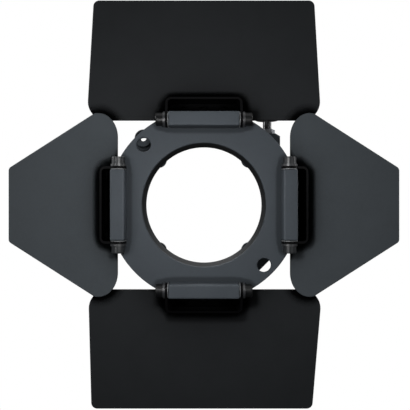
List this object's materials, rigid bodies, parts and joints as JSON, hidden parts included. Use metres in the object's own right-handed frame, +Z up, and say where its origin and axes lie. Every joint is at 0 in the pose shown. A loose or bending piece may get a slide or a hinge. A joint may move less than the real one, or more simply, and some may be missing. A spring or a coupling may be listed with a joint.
{
  "type": "barn door attachment",
  "caption": "Round-bored light barn door with hinged friction leaves on a front plate, a rear fixing frame and a sprung latch plunger.",
  "frame": {"origin": "on the light bore's axis, in the rear seating face of the rear frame", "axes": "+Y out of the rear face towards the luminaire, -Y the way the light leaves, +Z up, +X to the right seen from the front"},
  "size_m": [0.259, 0.0411, 0.2738],
  "materials": {
    "plate_black": "black anodised, fine blasted",
    "bore_black": "matte black",
    "frame_black": "black anodised",
    "block_black": "black anodised",
    "housing_black": "black anodised",
    "side_leaf_black": "black powder coat",
    "long_leaf_black": "black powder coat",
    "bracket_black": "black powder coat",
    "rivet_black": "black",
    "screw_black": "black oxide",
    "washer_black": "black oxide",
    "dark_steel": "black oxide",
    "bright_steel": "bright zinc",
    "spring_steel": "drawn wire",
    "pin_steel": "ground",
    "friction_nylon": "black nylon",
    "knob_plastic": "moulded, satin"
  },
  "bodies": {
    "barrel": {"front_plate": "plate_black", "bore_tube": "bore_black", "rear_frame": "frame_black", "mount_bush": "frame_black", "block_screws": "dark_steel", "hinge_block_right": "block_black", "hinge_screws_right": "screw_black", "hinge_washers_right": "washer_black", "friction_washers_right": "friction_nylon", "hinge_block_top": "block_black", "hinge_screws_top": "screw_black", "hinge_washers_top": "washer_black", "friction_washers_top": "friction_nylon", "hinge_block_left": "block_black", "hinge_screws_left": "screw_black", "hinge_washers_left": "washer_black", "friction_washers_left": "friction_nylon", "hinge_block_bottom": "block_black", "hinge_screws_bottom": "screw_black", "hinge_washers_bottom": "washer_black", "friction_washers_bottom": "friction_nylon", "latch_housing": "housing_black", "latch_housing_screws": "dark_steel", "latch_guide": "bright_steel", "latch_spring": "spring_steel"},
    "right_leaf": {"leaf_right": "side_leaf_black", "bracket_right": "bracket_black", "bracket_rivets_right": "rivet_black"},
    "top_leaf": {"leaf_top": "long_leaf_black", "bracket_top": "bracket_black", "bracket_rivets_top": "rivet_black"},
    "left_leaf": {"leaf_left": "side_leaf_black", "bracket_left": "bracket_black", "bracket_rivets_left": "rivet_black"},
    "bottom_leaf": {"leaf_bottom": "long_leaf_black", "bracket_bottom": "bracket_black", "bracket_rivets_bottom": "rivet_black"},
    "plunger": {"latch_pin": "pin_steel", "latch_knob": "knob_plastic"}
  },
  "joints": [
    {"name": "right_leaf_hinge", "type": "hinge", "parent": "barrel", "child": "right_leaf", "pos_m": [0.0543, -0.0323, 0], "axis": [0, 0, -1], "range_deg": [0, 115]},
    {"name": "top_leaf_hinge", "type": "hinge", "parent": "barrel", "child": "top_leaf", "pos_m": [0, -0.0323, 0.0543], "axis": [1, 0, 0], "range_deg": [0, 115]},
    {"name": "left_leaf_hinge", "type": "hinge", "parent": "barrel", "child": "left_leaf", "pos_m": [-0.0543, -0.0323, 0], "axis": [0, 0, 1], "range_deg": [0, 115]},
    {"name": "bottom_leaf_hinge", "type": "hinge", "parent": "barrel", "child": "bottom_leaf", "pos_m": [0, -0.0323, -0.0543], "axis": [-1, 0, 0], "range_deg": [0, 115]},
    {"name": "latch_plunger_slide", "type": "slide", "parent": "barrel", "child": "plunger", "axis": [0, 0, -1], "range_m": [0, 0.0025], "stiffness_N_per_m": 900, "springref_m": -0.0012, "deforming": ["latch_spring"]}
  ]
}
